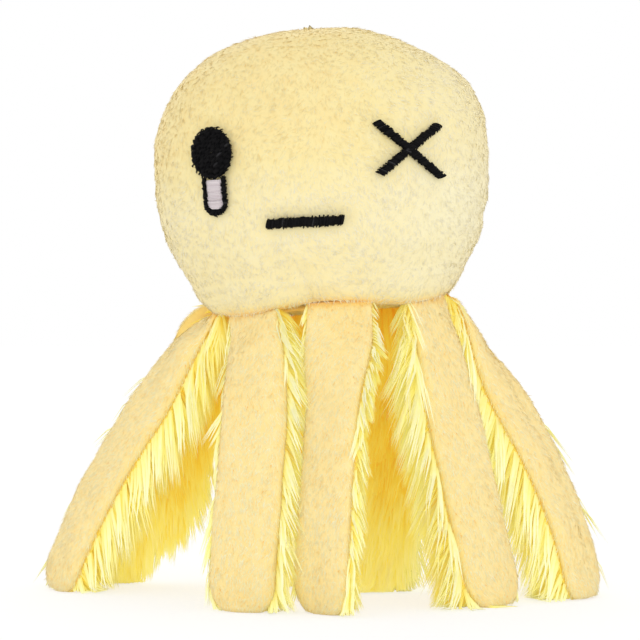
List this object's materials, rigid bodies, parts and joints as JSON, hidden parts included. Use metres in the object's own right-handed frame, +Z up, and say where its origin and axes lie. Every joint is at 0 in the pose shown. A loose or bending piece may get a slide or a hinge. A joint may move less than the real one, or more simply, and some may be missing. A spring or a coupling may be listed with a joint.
{
  "type": "plush octopus cat toy",
  "caption": "Small stuffed octopus cat toy: a round velvet head with a stitched face, standing on floppy tentacles that are velvet outside and shaggy inside.",
  "frame": {"origin": "on the surface that the toy stands on, at the middle of its outline seen from above", "axes": "+Z up; the face looks along -Y; +X is to the right as seen from the front"},
  "size_m": [0.139, 0.0914, 0.1415],
  "materials": {
    "head_velvet": "short velvet plush, pale cream yellow, matt",
    "tentacle_velvet": "short velvet plush, pale peach yellow, matt",
    "shag": "long shaggy pile, lemon yellow at the tips and amber at the roots",
    "black_thread": "satin-stitched embroidery thread, slight sheen",
    "pale_thread": "satin-stitched embroidery thread, pinkish white",
    "filling": "loose white polyester fibre"
  },
  "bodies": {
    "root": {"head_front_panel": "head_velvet", "head_back_panel": "head_velvet", "base_panel": "head_velvet", "head_filling": "filling", "round_eye_stitching": "black_thread", "crossed_eye_stitching": "black_thread", "mouth_stitching": "black_thread", "tear_border_stitching": "black_thread", "tear_stitching": "pale_thread", "front_tentacle_velvet": "tentacle_velvet", "front_tentacle_shag": "shag", "front_left_tentacle_velvet": "tentacle_velvet", "front_left_tentacle_shag": "shag", "left_tentacle_velvet": "tentacle_velvet", "left_tentacle_shag": "shag", "back_left_tentacle_velvet": "tentacle_velvet", "back_left_tentacle_shag": "shag", "back_tentacle_velvet": "tentacle_velvet", "back_tentacle_shag": "shag", "back_right_tentacle_velvet": "tentacle_velvet", "back_right_tentacle_shag": "shag", "right_tentacle_velvet": "tentacle_velvet", "right_tentacle_shag": "shag", "front_right_tentacle_velvet": "tentacle_velvet", "front_right_tentacle_shag": "shag"}
  },
  "joints": []
}
